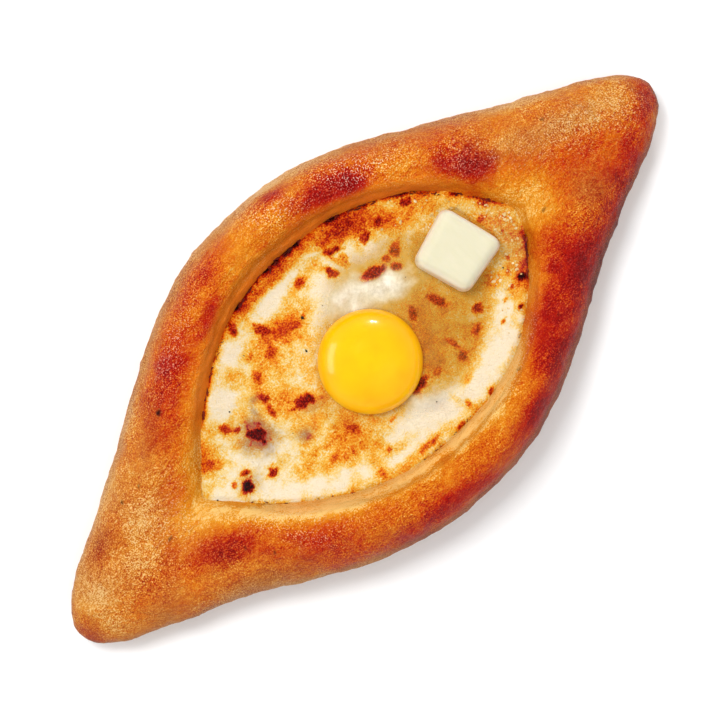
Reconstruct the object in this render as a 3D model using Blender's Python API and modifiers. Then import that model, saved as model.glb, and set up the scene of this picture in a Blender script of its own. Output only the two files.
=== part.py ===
"""Open boat-shaped cheese bread: a dough boat with pointed ends, a cheese filling, egg white,
a whole yolk and a pat of butter.

Run it with: blender --background --python part.py
+X runs along the boat, +Z is up, and the origin is on the table under the middle of the boat.
"""

import math

import bmesh
import bpy

MM = 0.001
GAP = 0.3 * MM  # left between pieces that touch

# The dough boat, seen from above.
BOAT_LENGTH = 280 * MM
BOAT_WIDTH = 134 * MM
NOSE_SHARE = 0.53  # how much of the width follows the round-nosed curve, and the rest the belly
BELLY_SPREAD = 1.2  # a higher power keeps the belly wide for longer
BELLY_TAPER = 3.3  # a higher power pinches the ends in more sharply
TIP_DROOP = 1.9 * MM  # the pointed ends lie this far to -Y of the belly's middle

# The opening that the cheese fills, seen from above.
OPENING_LENGTH = 148 * MM
OPENING_WIDTH = 86 * MM
OPENING_SKEW = 1.7 * MM  # its pointed end lies this far to +Y, and its blunt end to -Y
POINTED_END = (2.1, 1.0)  # powers of the outline towards -X
BLUNT_END = (2.6, 0.8)  # powers of the outline towards +X

# Heights and thicknesses of the dough boat.
CREST_HEIGHT = 32 * MM  # the rim's top, half way along the boat
TIP_DROP = 8 * MM  # the rim's top is this much lower at the tips
CREST_INSET = 11 * MM  # from the opening's edge to the rim's top
LEDGE_WIDTH = 4 * MM  # the ledge between the cheese and the fold of the rolled rim
LEDGE_RISE = 2 * MM
TIP_LEDGE = 0.2  # share of the ledge that is left at the tips
LUMP_HEIGHT = 0.9 * MM  # unevenness of the hand-rolled rim
WAIST_HEIGHT = 13 * MM  # where the boat is widest
TIP_WAIST_DROP = 3 * MM
FOOT_INSET = 9 * MM  # the flat underside stops this far inside the outline
FLOOR_HEIGHT = 8 * MM  # top of the dough under the cheese
WALL_SLOPE = 3 * MM  # the cavity narrows by this much from the cheese's top down to its foot
WALL_FOOT = 3 * MM  # height and reach of the rounded corner between wall and floor
SIDE_ROUNDNESS = 2.4  # superellipse power of the rim's shoulder at the belly
TIP_ROUNDNESS = 2.0  # and at the tips
LIP_ROUNDNESS = 2.2  # and of the rim's inner side

# The cheese filling.
CHEESE_LEVEL = 20 * MM
CHEESE_CLIMB = 1.6 * MM  # its edge climbs the wall by this much
LEVEL_SHARE = 0.88  # share of the way out over which it lies level

# The egg white, a thin pool on the cheese.
WHITE_CENTRE = (22 * MM, -4 * MM)
WHITE_REACH = (46 * MM, 33 * MM)  # along and across the boat
WHITE_LOBES = ((3, 3.4, 0.05), (5, 4.4, 0.045), (8, 0.3, 0.025))  # waves round it, phase, share of reach
WHITE_THICKNESS = 1.5 * MM
WHITE_EDGE = 1.4 * MM  # width of its rounded edge
WHITE_SHARE = 0.83  # it stops at this share of the way out to the opening's edge

# The yolk, a ball that has settled in a hollow of the cheese.
YOLK_CENTRE = (1.3 * MM, -4.8 * MM)
YOLK_RADIUS = 18.4 * MM
YOLK_EQUATOR = 21.5 * MM
YOLK_RISE = 10 * MM  # above its equator
YOLK_DEPTH = 7 * MM  # below its equator

# The pat of butter.
BUTTER_CENTRE = (50.8 * MM, 2.2 * MM)
BUTTER_SIZE = (23.5 * MM, 22.5 * MM, 12.5 * MM)
BUTTER_TURN = math.radians(11)
BUTTER_SUNK = 1.6 * MM  # into the filling
BUTTER_TAPER = 0.93  # its top is this much narrower than its foot
BUTTER_EDGE = 3.2 * MM  # radius of its softened edges

RAYS = 112  # points round the boat
RAY_SPREAD = 0.55  # below 1, the rays crowd towards the tips, where the outline turns fastest
BELLY_STEPS, SHOULDER_STEPS, LIP_STEPS = 4, 7, 5  # points on each curve of the rim's profile
WHITE_RAYS = 72
YOLK_SEGMENTS, YOLK_RINGS = 44, 16

FINISHES = {  # colour, roughness
    "bread": ((0.62, 0.24, 0.06), 0.5),
    "cheese_filling": ((0.86, 0.68, 0.36), 0.45),
    "egg_white": ((0.90, 0.84, 0.66), 0.25),
    "egg_yolk": ((0.98, 0.58, 0.01), 0.12),
    "butter_pat": ((0.94, 0.87, 0.62), 0.35),
}


def boat_sides(x):
    """The lowest and highest y of the boat at x, or None past its tips: a bell with round noses."""
    t = abs(x) / (BOAT_LENGTH / 2)
    if t > 1:
        return None
    belly = math.cos(math.pi / 2 * t**BELLY_SPREAD) ** BELLY_TAPER
    nose = math.sqrt(1 - t * t)
    half = BOAT_WIDTH / 2 * ((1 - NOSE_SHARE) * belly + NOSE_SHARE * nose)
    middle = -TIP_DROOP * t**4
    return middle - half, middle + half


def opening_sides(x, share=1.0):
    """The lowest and highest y of the opening at x, or None past its ends. share shrinks it."""
    t = abs(x) / (share * OPENING_LENGTH / 2)
    if t > 1:
        return None
    bulge, closing = BLUNT_END if x > 0 else POINTED_END
    half = share * OPENING_WIDTH / 2 * (1 - t**bulge) ** closing
    middle = -share * OPENING_SKEW * math.copysign(t, x)
    return middle - half, middle + half


def reach(angle, sides, start=(0.0, 0.0)):
    """How far an outline lies from start in the direction angle, found by halving."""
    inside, outside = 0.0, BOAT_LENGTH
    for _ in range(40):
        middle = (inside + outside) / 2
        found = sides(start[0] + middle * math.cos(angle))
        y = start[1] + middle * math.sin(angle)
        if found and found[0] <= y <= found[1]:
            inside = middle
        else:
            outside = middle
    return inside


def ray_angle(turn):
    """The direction of a ray, for a turn from 0 to 1 round the boat."""
    a = 2 * math.pi * turn
    return math.atan2(RAY_SPREAD * math.sin(a), math.cos(a))


def quarter(upright_end, level_end, power, steps):
    """Points of a quarter superellipse, which starts upright at one end and is level at the other."""
    (r0, z0), (r1, z1) = upright_end, level_end
    points = []
    for step in range(steps + 1):
        a = math.pi / 2 * step / steps
        across = math.cos(a) ** (2 / power) if step < steps else 0.0
        up = math.sin(a) ** (2 / power)
        points.append((r1 + (r0 - r1) * across, z0 + (z1 - z0) * up))
    return points


def boat_profile(angle):
    """(distance from the middle, height) along a ray, from under the boat round to its cavity floor."""
    outer = reach(angle, boat_sides)
    inner = reach(angle, opening_sides)
    tipward = abs(outer * math.cos(angle)) / (BOAT_LENGTH / 2)
    lumps = 0.6 * math.sin(5 * angle + 0.8) + 0.4 * math.sin(9 * angle + 2.5)
    crest = (inner + CREST_INSET, CREST_HEIGHT - TIP_DROP * tipward**1.5 + LUMP_HEIGHT * lumps)
    waist = (outer, WAIST_HEIGHT - TIP_WAIST_DROP * tipward**2)
    foot = (outer - FOOT_INSET, 0.0)
    power = SIDE_ROUNDNESS + (TIP_ROUNDNESS - SIDE_ROUNDNESS) * tipward
    ledge = 1 - (1 - TIP_LEDGE) * tipward
    fold = (inner + LEDGE_WIDTH * ledge, CHEESE_LEVEL + LEDGE_RISE * ledge)
    underside = [(foot[0] / 3, 0.0), (foot[0] * 2 / 3, 0.0)]
    belly = quarter(waist, foot, 2.0, BELLY_STEPS)[::-1]
    shoulder = quarter(waist, crest, power, SHOULDER_STEPS)[1:]
    lip = quarter(fold, crest, LIP_ROUNDNESS, LIP_STEPS)[-2::-1] + [(inner, CHEESE_LEVEL)]
    foot_of_wall = inner - WALL_SLOPE
    wall = [
        (foot_of_wall, FLOOR_HEIGHT + WALL_FOOT),
        (foot_of_wall - WALL_FOOT, FLOOR_HEIGHT),
        (foot_of_wall / 2, FLOOR_HEIGHT),
    ]
    return underside + belly + shoulder + lip + wall


def filling_profile(angle):
    """(distance from the middle, height) along a ray, from under the cheese round to its top."""
    inner = reach(angle, opening_sides) - GAP
    foot_of_wall = inner - WALL_SLOPE
    bottom = FLOOR_HEIGHT + GAP
    under = [
        (foot_of_wall / 2, bottom),
        (foot_of_wall - WALL_FOOT, bottom),
        (foot_of_wall, bottom + WALL_FOOT),
        (inner, CHEESE_LEVEL),
    ]
    climb = []
    for share in (1.0, 0.96, 0.92, LEVEL_SHARE):
        up = ((share - LEVEL_SHARE) / (1 - LEVEL_SHARE)) ** 2
        hug = GAP / 2 if share == 1.0 else 0.0
        climb.append((inner * share - hug, CHEESE_LEVEL + CHEESE_CLIMB * up))
    level = [(inner * share, CHEESE_LEVEL) for share in (0.66, 0.44, 0.22)]
    return under + climb + level


def white_profile(angle):
    """(distance from the white's middle, height) along a ray, from under the pool round to its top."""
    along, across = WHITE_REACH
    ellipse = 1 / math.hypot(math.cos(angle) / along, math.sin(angle) / across)
    lobes = sum(share * math.sin(waves * angle + phase) for waves, phase, share in WHITE_LOBES)
    limit = reach(angle, lambda x: opening_sides(x, WHITE_SHARE), WHITE_CENTRE)
    edge = min(ellipse * (1 + lobes), limit)
    bottom = CHEESE_LEVEL + GAP
    top = bottom + WHITE_THICKNESS
    under = [(edge / 2, bottom), (edge - WHITE_EDGE / 2, bottom)]
    side = quarter((edge, bottom + WHITE_THICKNESS / 3), (edge - WHITE_EDGE, top), 2.0, 3)
    return under + side + [(edge * 0.7, top), (edge * 0.35, top)]


def moulded(name, profile, rays, angle_of, centre=(0.0, 0.0)):
    """A ball pressed into shape: each meridian of a UV sphere is laid along the profile of one ray."""
    rings = len(profile(0.0))
    shape = bmesh.new()
    bmesh.ops.create_uvsphere(shape, u_segments=rays, v_segments=rings + 1, radius=1.0)
    profiles = {}
    heights = (profile(0.0)[0][1], profile(0.0)[-1][1])  # where the two poles go
    for vertex in shape.verts:
        x, y, z = vertex.co
        if math.hypot(x, y) < 1e-4:
            vertex.co = (*centre, heights[z > 0])
            continue
        ray = round(math.atan2(y, x) / (2 * math.pi) * rays) % rays
        ring = round((math.asin(max(-1.0, min(1.0, z))) / math.pi + 0.5) * (rings + 1)) - 1
        if ray not in profiles:
            angle = angle_of(ray / rays)
            profiles[ray] = (angle, profile(angle))
        angle, points = profiles[ray]
        distance, height = points[ring]
        vertex.co = (
            centre[0] + distance * math.cos(angle),
            centre[1] + distance * math.sin(angle),
            height,
        )
    return object_from(name, shape)


def object_from(name, shape):
    """Writes a bmesh to a new object, shaded smooth except at real edges."""
    mesh = bpy.data.meshes.new(name)
    shape.to_mesh(mesh)
    shape.free()
    mesh.shade_smooth()
    mesh.set_sharp_from_angle(angle=math.radians(50))
    return bpy.data.objects.new(name, mesh)


def even_turn(turn):
    """The direction of a ray where the rays are spread evenly."""
    return 2 * math.pi * turn


def yolk(name, grown=0.0):
    """A ball flattened by its own weight, more below its equator than above. grown enlarges it."""
    shape = bmesh.new()
    bmesh.ops.create_uvsphere(
        shape, u_segments=YOLK_SEGMENTS, v_segments=YOLK_RINGS, radius=YOLK_RADIUS + grown
    )
    for vertex in shape.verts:
        height = YOLK_RISE if vertex.co.z > 0 else YOLK_DEPTH
        vertex.co.z *= (height + grown) / (YOLK_RADIUS + grown)
    ball = object_from(name, shape)
    ball.location = (*YOLK_CENTRE, YOLK_EQUATOR)
    return ball


def butter(name, grown=0.0):
    """A pat that narrows towards its top, its edges softened by the heat. grown enlarges it."""
    shape = bmesh.new()
    bmesh.ops.create_cube(shape, size=1.0)
    for vertex in shape.verts:
        taper = BUTTER_TAPER if vertex.co.z > 0 else 1.0
        vertex.co.x *= (BUTTER_SIZE[0] + 2 * grown) * taper
        vertex.co.y *= (BUTTER_SIZE[1] + 2 * grown) * taper
        vertex.co.z *= BUTTER_SIZE[2] + 2 * grown
    pat = object_from(name, shape)
    soft = pat.modifiers.new("soft edges", "BEVEL")
    soft.width = BUTTER_EDGE + grown
    soft.segments = 4
    pat.location = (*BUTTER_CENTRE, CHEESE_LEVEL - BUTTER_SUNK + GAP + BUTTER_SIZE[2] / 2)
    pat.rotation_euler.z = BUTTER_TURN
    return pat


def hollow(piece, cutter):
    """Cuts a cutter's shape out of a piece."""
    cut = piece.modifiers.new(f"{cutter.name} cut", "BOOLEAN")
    cut.operation = "DIFFERENCE"
    cut.solver = "EXACT"
    cut.object = cutter


def finish(piece):
    """Gives a piece the material of its name."""
    colour, roughness = FINISHES[piece.name]
    material = bpy.data.materials.new(piece.name)
    material.use_nodes = True
    shader = material.node_tree.nodes["Principled BSDF"]
    shader.inputs["Base Color"].default_value = (*colour, 1.0)
    shader.inputs["Roughness"].default_value = roughness
    piece.data.materials.append(material)


def collection(name):
    """A new collection in the scene."""
    group = bpy.data.collections.new(name)
    bpy.context.scene.collection.children.link(group)
    return group


def main():
    for old in list(bpy.data.objects):
        bpy.data.objects.remove(old)

    bread = moulded("bread", boat_profile, RAYS, ray_angle)
    filling = moulded("cheese_filling", filling_profile, RAYS, ray_angle)
    white = moulded("egg_white", white_profile, WHITE_RAYS, even_turn, WHITE_CENTRE)
    pieces = [bread, filling, white, yolk("egg_yolk"), butter("butter_pat")]
    cutters = [yolk("yolk hollow", GAP), butter("butter hollow", GAP)]

    food = collection("cheese bread boat")
    for piece in pieces:
        food.objects.link(piece)
        finish(piece)

    tools = collection("cutters")
    for cutter in cutters:
        tools.objects.link(cutter)
        cutter.hide_render = True
        cutter.display_type = "WIRE"
        for piece in (filling, white):
            hollow(piece, cutter)


main()
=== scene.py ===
"""Dresses a boat of cheese bread: the baked crust, the molten cheese with its blisters, the egg,
the butter and the small burnt, peppery and bubbly things, on a pale studio floor.

It is laid out as an add-on and run as a script. Lengths are in metres. +X runs along the boat
towards the butter, +Y across it, and +Z is up.
"""

import math
import random
from collections import namedtuple

import bpy
import numpy as np
from mathutils import Euler, Matrix, Vector, noise


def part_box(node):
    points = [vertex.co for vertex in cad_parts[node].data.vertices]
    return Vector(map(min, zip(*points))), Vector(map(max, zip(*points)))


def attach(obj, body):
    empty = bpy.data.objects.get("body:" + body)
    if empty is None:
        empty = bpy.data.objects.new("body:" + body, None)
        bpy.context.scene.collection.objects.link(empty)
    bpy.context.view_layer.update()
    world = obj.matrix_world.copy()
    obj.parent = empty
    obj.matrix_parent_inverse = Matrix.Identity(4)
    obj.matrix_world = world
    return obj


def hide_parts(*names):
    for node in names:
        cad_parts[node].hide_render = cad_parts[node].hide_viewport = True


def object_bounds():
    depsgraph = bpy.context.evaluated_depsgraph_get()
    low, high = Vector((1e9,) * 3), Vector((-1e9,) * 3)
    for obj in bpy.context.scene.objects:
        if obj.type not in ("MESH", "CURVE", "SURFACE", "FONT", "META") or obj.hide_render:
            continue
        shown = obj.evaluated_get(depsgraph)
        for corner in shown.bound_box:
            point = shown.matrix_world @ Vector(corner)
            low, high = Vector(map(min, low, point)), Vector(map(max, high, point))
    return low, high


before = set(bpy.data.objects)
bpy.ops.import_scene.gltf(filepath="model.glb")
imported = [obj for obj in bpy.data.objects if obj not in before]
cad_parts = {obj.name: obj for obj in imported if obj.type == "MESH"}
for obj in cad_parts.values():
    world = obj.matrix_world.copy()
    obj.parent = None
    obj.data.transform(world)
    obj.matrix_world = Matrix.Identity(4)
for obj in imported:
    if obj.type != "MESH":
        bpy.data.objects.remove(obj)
CAD_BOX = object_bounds()

bl_info = {
    "name": "Cheese Bread Boat",
    "version": (1, 0, 0),
    "blender": (4, 5, 0),
    "location": "3D View > Sidebar > Bread Boat",
    "description": "Builds a baked boat of cheese bread with an egg and a pat of butter",
    "category": "Add Mesh",
}

MM = 0.001
BODY = "root"
MERGE = 0.01 * MM

# The point that the camera looks down on, and how many curds of froth are tried.
AIM = Vector((-1.3, -1.1, 13)) * MM
FROTH_TRIES = 200

# A soft spot on the food: its middle, full length and width in mm, turn in degrees, and strength.
Spot = namedtuple("Spot", "x y length width turn strength")


def spots(*rows):
    """Rows of numbers as spots."""
    return [Spot(*row) for row in rows]


# Where the oven's heat toasted the crust. The spots on the lower right flank at (80, -42) and (104, -25)
# also carry painted shade.
TOASTED_AND_SHADED = spots(
    (31, 48, 24, 10, -18, 0.6), (39, 43, 12, 8, -35, 0.35), (16, 60, 11, 5, -10, 0.48),
    (70.5, 22.5, 20, 13, -50, 0.5), (74, 17, 12, 9, -60, 0.25), (103, 0, 26, 18, -20, 0.12),
    (118, -11, 20, 9, 25, 0.14), (130, -7, 14, 7, 20, 0.24), (52, -32, 26, 9, 30, 0.14),
    (74, -33, 50, 20, 28, 0.15), (-40, 50, 44, 14, 30, 0.12), (-48, -40, 50, 10, -28, 0.12),
    (75, -30, 18, 9, 18, 0.52), (60, -34, 20, 9, 30, 0.22), (47, -44, 17, 11, 25, 0.42),
    (31, -56, 20, 7, 12, 0.3), (-4, -48, 9, 6, 0, 0.25), (-12, -59, 30, 8, -5, 0.36),
    (-80, -17, 25, 11, -28, 0.44), (-70, -29, 11, 7, -30, 0.18), (-55, -37, 14, 9, -25, 0.24),
    (-58, 37, 36, 14, 35, 0.3), (-29, 45, 18, 6, 24, 0.38), (-18, 57, 18, 8, 10, 0.12),
    (-79, 8, 14, 12, 0, 0.2), (-113, 15, 16, 7, 30, 0.28), (60, -33, 20, 7, 40, 0.14),
    (73, -18, 16, 14, 0, 0.32), (80, -42, 24, 8, 36, 0.3), (104, -25, 56, 8, 24, 0.34),
    (135, -2, 10, 14, 0, 0.26), (-98, -5, 16, 7, 30, 0.14), (-135, -4, 10, 13, 0, 0.32),
)

# Where the crust stayed pale and golden.
PALE = spots(
    (8, 57, 34, 9, 0, 0.12), (56, 39, 20, 12, -30, 0.16), (-104, 2, 44, 20, 0, 0.15),
    (-92, 12, 26, 10, 30, 0.1), (-47, -29, 36, 6, -36, 0.32), (-24, -41, 30, 6, -20, 0.24),
    (4, -47, 34, 6, 3, 0.26), (-76, 0, 12, 16, 0, 0.12), (104, 10, 50, 12, -20, 0.12),
    (-112, 8, 36, 14, 20, 0.05), (92, 22, 22, 9, -25, 0.1), (84, -6, 12, 16, 0, 0.08),
    (-126, -8, 14, 6, -30, 0.1), (-122, 4, 13, 8, 20, 0.14), (2, 51, 64, 9, 0, 0.09),
    (26, -43, 28, 12, 18, 0.26), (-73, -44, 26, 6, -35, 0.28), (-60, -18, 24, 5, -42, 0.28),
    (122, 3, 22, 16, 0, 0.2), (38, -38, 14, 8, 30, 0.22), (-31, -32, 24, 5, -30, 0.3),
    (-52, -55, 34, 6, -26, 0.28), (100, 26, 28, 7, -22, 0.16), (17, 64, 30, 3.5, -8, 0.16),
    (-100, 26, 24, 7, 30, 0.12),
)

# Where the egg wash missed the dough, which baked dull and tan.
DRY = spots(
    (104, 10, 58, 12, -20, 0.8), (62, 50, 44, 11, -36, 0.55), (97, -14, 16, 14, 0, 0.6),
    (-112, 2, 36, 26, 20, 0.5), (-78, 26, 44, 10, 38, 0.5), (-80, -35, 36, 12, -30, 0.85),
)

# Where painted glints, light dots that stand for highlights on the egg wash's fine bubbles, are strewn.
PAINTED_GLINT_SPOTS = spots(
    (42, 48, 24, 11, -35, 0.9), (58, 42, 20, 12, -30, 0.25), (14, 55, 22, 9, -20, 0.6),
    (109, 6, 40, 14, -14, 0.6), (126, -2, 16, 12, 0, 0.4), (-60, -27, 34, 7, -57, 0.55),
    (-88, 4, 40, 24, 0, 0.35), (-40, -40, 40, 8, -20, 0.35), (-45, 47, 40, 9, 28, 0.4),
    (76, 24, 26, 16, -40, 0.35), (44, -36, 26, 5, 32, 1.3), (-58, -22, 30, 4, -40, 0.8),
)

# Burst blisters in the crust, now small scabs.
SCABS = spots(
    (-95, 20.5, 1.4, 1.1, 0, 0.8), (-86.5, 20.5, 1.5, 1.2, 40, 0.7), (-92, -0.6, 2, 1.4, 0, 0.7),
    (-64, 33.5, 2.8, 1.9, 20, 1), (-69, -29, 1.3, 1.1, 0, 0.8), (102, 15, 1.5, 1.2, 0, 0.7),
    (81, -8.5, 1.8, 1.2, 60, 0.7), (125, 17, 1.2, 1, 0, 0.5), (-75, -21, 1.6, 1, 30, 0.7),
    (59, -38, 1.4, 1, 0, 0.5), (-27, -63, 1.5, 1, 0, 0.5), (36, -42, 1.3, 1, 0, 0.5),
)

# Blisters of the cheese, from toasted (0.5) over charred (1) to burnt black (1.3).
BLISTERS = spots(
    (-54.8, 23.3, 3.9, 2.9, 35, 0.86), (-49, 29.2, 9.5, 3.3, 40, 1.05),
    (-52.2, 13.8, 5.2, 3.6, -50, 0.76), (-49, 10.3, 2.8, 1.7, 20, 0.9), (-45.4, 4.4, 7, 5.6, -75, 1.25),
    (-34.8, 11.9, 3.6, 2.8, -60, 0.9), (-36, 7, 4.4, 2.1, 80, 0.8), (-31.2, 18.8, 5, 3.4, 60, 0.46),
    (-25.6, 1.4, 8.6, 3.9, -15, 1), (-32.6, -9, 3.4, 2, -10, 0.52), (-63.5, -3, 2, 2.3, 0, 0.74),
    (-57.4, -2.4, 3.6, 2.2, -20, 0.96), (-60.2, -6.4, 4.6, 4.2, 0, 1.25),
    (-50.3, -9.1, 3.6, 3.1, 10, 0.96), (-63.8, 7.2, 7.6, 5, -20, 0.45), (-25.5, 36.2, 3.8, 2, 45, 0.9),
    (-18.6, 29.3, 6, 3.4, -70, 0.9), (-12, 24.8, 12, 5.4, -18, 0.5), (-21.8, 21.8, 5, 3.6, 0, 0.52),
    (-19.6, -17.5, 4.2, 2.4, -50, 0.55), (-31.4, -20.5, 4, 2.3, 0, 0.52),
    (-25.2, -24.2, 1.6, 2.2, 0, 0.52), (-15.5, -31.4, 2.2, 1.9, 0, 0.6), (2.3, 32, 4.2, 3.6, 0, 0.7),
    (-27.6, 26, 2.2, 1.6, 30, 0.5), (-22.9, -35.3, 3, 3.4, 30, 0.5), (-49.1, -24.3, 2.3, 2.3, 0, 0.98),
    (-56, -18.5, 2.8, 1.4, -45, 0.84), (-7.5, -24.6, 3.2, 1.7, 0, 0.5), (12.9, 26.9, 4.9, 3.1, -75, 0.9),
    (18.6, 27.4, 5.6, 3.6, 80, 0.52), (18.2, 32.4, 7.2, 2.6, -25, 0.92), (29.6, 28, 4.5, 3.1, 0, 0.86),
    (36.7, 28.7, 3.4, 2.3, 20, 0.8), (23.2, 16.9, 9.4, 4.2, -15, 1), (30, 17.3, 3, 2.6, 0, 0.8),
    (34.6, 17.6, 5.3, 3.6, 20, 0.8), (30.6, 12.9, 3.9, 3.1, -45, 0.86), (23.3, -3, 5.2, 2.5, 60, 0.78),
    (32.7, -5.8, 7.8, 3.1, -70, 0.88), (8, -23, 7.6, 2.8, 12, 1), (15.6, -23.6, 3.3, 2.4, 0, 0.6),
    (26.2, -20.2, 6, 1.9, -80, 0.76), (25.8, -25.6, 4.2, 2.7, 10, 0.7), (41.2, -17.2, 4.4, 3.6, 30, 0.95),
    (35.4, -22.5, 4.2, 3.4, 20, 0.72), (8, -41.8, 3.6, 1.3, 0, 0.85), (23.8, -40.6, 3.2, 1.3, 8, 0.72),
    (15.4, -39.2, 1.9, 2.2, 0, 0.6), (-3.5, -39.8, 7, 1.2, -3, 0.62), (25.6, 36.2, 9, 3, -20, 0.7),
    (57, -16, 2.5, 1.6, 40, 0.55), (61, -12, 2, 1.4, 0, 0.5), (50, -22, 2.2, 1.2, 30, 0.5),
    (44, -27, 3, 1.2, 20, 0.55), (66, -4, 2, 1.6, 0, 0.55), (55, -20.4, 1.6, 1.2, 0, 0.6),
    (59, -20, 2.6, 2.6, 0, 1.25), (51.6, -27, 1.8, 1.1, 30, 1.1), (69, -9.8, 2.2, 2, 0, 0.8),
    (63.4, 4.3, 3, 2.6, 0, 0.5), (67.2, 7.6, 3.4, 2.2, -40, 0.66), (48, 26.6, 3.8, 1.8, -25, 1),
    (62.6, 16.6, 3.4, 1.8, -25, 1), (66.5, 11, 3, 1.6, -60, 0.8),
)

# Broad areas of the cheese that browned (above 0) or stayed creamy (below 0). The spots at (-20, -18) and
# (-13, -14) paint the shade of the hollow left of and below the yolk, and the band at (-10, 39.3) is partly
# painted shadow under the upper rim.
CHEESE_AREAS = spots(
    (-12, 25, 22, 11, -15, 0.3), (-23, 21, 20, 15, 30, 0.17), (-33, 14, 14, 22, 0, 0.16),
    (-34, -18, 26, 20, -20, 0.22), (-38, 26, 8, 7, 0, 0.24), (-28, 4, 20, 14, 0, 0.15),
    (-64, 8, 12, 9, -20, 0.16), (-20, -18, 15, 26, 25, 0.3), (-13, -14, 16, 14, 0, 0.16),
    (-10, 39.3, 44, 4, 2, 0.56), (-50, 29, 20, 3, 42, 0.2), (-61, 13, 14, 7, 45, 0.22),
    (27, 35, 26, 8, -20, 0.74), (60, -21, 12, 8, 30, 0.55), (45, 24, 26, 9, -22, 0.3),
    (-4, -39.5, 60, 3.5, -3, 0.28), (-36, -32, 30, 8, -28, 0.14), (20, -8, 26, 26, 0, 0.42),
    (27, -24, 20, 12, 0, 0.16), (17, -18, 12, 12, 0, 0.24), (50, -14, 14, 7, 10, 0.26),
    (66, -8, 16, 24, 0, 0.18), (-24, -36, 8, 6, 20, 0.18), (22, -33, 8, 3, 20, 0.26),
    (-44, -22, 38, 9, -38, -0.3), (-62, -4, 20, 16, 0, -0.28), (-48, 21, 16, 9, 35, -0.28),
    (-34, 31, 18, 7, 25, -0.2), (-10, 34, 22, 7, 5, -0.34), (6, 24, 18, 18, 0, -0.26),
    (28, 23, 20, 7, -8, -0.26), (22, 28, 16, 9, 0, -0.2), (18, 9, 20, 12, -10, -0.3),
    (-44, -4, 16, 12, 0, -0.16), (4, -32, 26, 12, -15, -0.45), (28, -35, 36, 7, 12, -0.42),
    (47, -25, 20, 10, 25, -0.32), (-12, -37, 18, 6, -10, -0.2), (-27, -14, 6, 20, 0, -0.14),
)

# Dark juice under the cheese's skin.
BRUISES = spots(
    (-45.5, 3.5, 14, 11, -75, 0.9), (-38, 14, 4, 3, 0, 0.5), (-40.5, 10.8, 2.4, 5, 0, 0.45),
    (-33.2, -7.4, 6, 5, -30, 0.6), (-58.5, -6.5, 8, 8, 0, 0.35), (-24.5, -2.5, 8, 4, -20, 0.35),
    (27, 6, 22, 10, -10, 0.22), (8, -31.5, 8, 5, -20, 0.24), (25, 13.2, 12, 4, -15, 0.3),
    (65, -8, 14, 24, 0, 0.26),
)

# Milky places of the egg white, where it has set. Elsewhere it is clear and amber with butter.
SET_WHITE = spots(
    (12, 18, 30, 15, -18, 0.8), (26, 8, 24, 13, -12, 0.62), (3, -30.5, 22, 13, -18, 1),
    (14, -34, 14, 8, -10, 0.6), (-20, 12, 14, 12, 0, 0.25),
)

# Where the cheese foamed up.
FROTHY = spots((66, -6, 17, 30, 0, 1), (60, 14, 14, 10, -30, 0.6), (50, -22, 14, 8, 30, 0.3))

# Folds of the cheese's skin, each an open line of points in mm. Each is raised, and painted paler along its
# crest as a painted highlight.
SKIN_FOLDS = [
    ((8, 38.8), (12, 36.4), (17, 34.6), (22, 34.2)),
    ((-45, -3), (-50, -2.2), (-53, -3.6)),
    ((-38, 4.5), (-40, 2), (-39, 0)),
]

# Stretches of the burnt line round the opening: first and last direction in degrees, and thickness.
BURNT_STRETCHES = [
    (142, 160, 0.9), (124, 142, 0.45), (74, 117, 1), (40, 63, 0.7), (28, 38, 0.8), (19, 28, 0.5),
    (2, 15, 0.8), (-20, -7, 0.8), (-38, -27, 0.3), (-84, -60, 0.3), (-102, -90, 0.4), (-150, -136, 0.35),
    (-170, -160, 0.45),
]

# How far each corner of the butter was pulled when it was cut, in mm along X and Y.
CORNER_PULLS = {(1, 1): (-3.2, 1.7), (1, -1): (-0.8, -0.8), (-1, -1): (-0.3, -0.6), (-1, 1): (-2.5, -1.0)}

# The grains of pepper: place along X and Y, and radius, in mm.
PEPPER = [
    (-5.5, 22.8, 0.5), (-12.6, 13.5, 0.42), (25.6, 7.1, 0.22), (30.3, 7.9, 0.2), (7.9, -31, 0.24),
    (57.2, -13.4, 0.26), (-71.3, -2.6, 0.3), (-46.8, 16.8, 0.32), (-36, -4, 0.16), (44, 6, 0.14),
    (2.5, 21, 0.15), (-29.5, 27.5, 0.18),
]


# ---------------------------------------------------------------- settings


def linear(code):
    """An sRGB hex code as a linear colour."""
    channels = [int(code[i : i + 2], 16) / 255 for i in (1, 3, 5)]
    return (*(c / 12.92 if c <= 0.04045 else ((c + 0.055) / 1.055) ** 2.4 for c in channels), 1.0)


class CrustSettings(bpy.types.PropertyGroup):
    """Sizes, baking and colour of the dough."""

    grain: bpy.props.FloatProperty(
        name="Mesh grain", description="Spacing of the crust's mesh", default=0.9 * MM, unit="LENGTH"
    )
    lumps: bpy.props.FloatProperty(
        name="Lumps", description="Height of the hand-shaped lumps", default=1.6 * MM, unit="LENGTH"
    )
    wrinkles: bpy.props.FloatProperty(
        name="Wrinkles", description="Height of the skin's fine wrinkles", default=0.35 * MM, unit="LENGTH"
    )
    brownness: bpy.props.FloatProperty(
        name="Brownness", description="How far the whole crust is baked", default=0.40, min=0, max=1
    )
    # Colour of the painted light on the inner wall, which lifts the wall out of its shade.
    soaked: bpy.props.FloatVectorProperty(
        name="Soaked colour",
        description="Colour of the inner wall, where butter soaked it",
        default=linear("#ff8520"),
        size=4,
        subtype="COLOR",
    )


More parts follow.
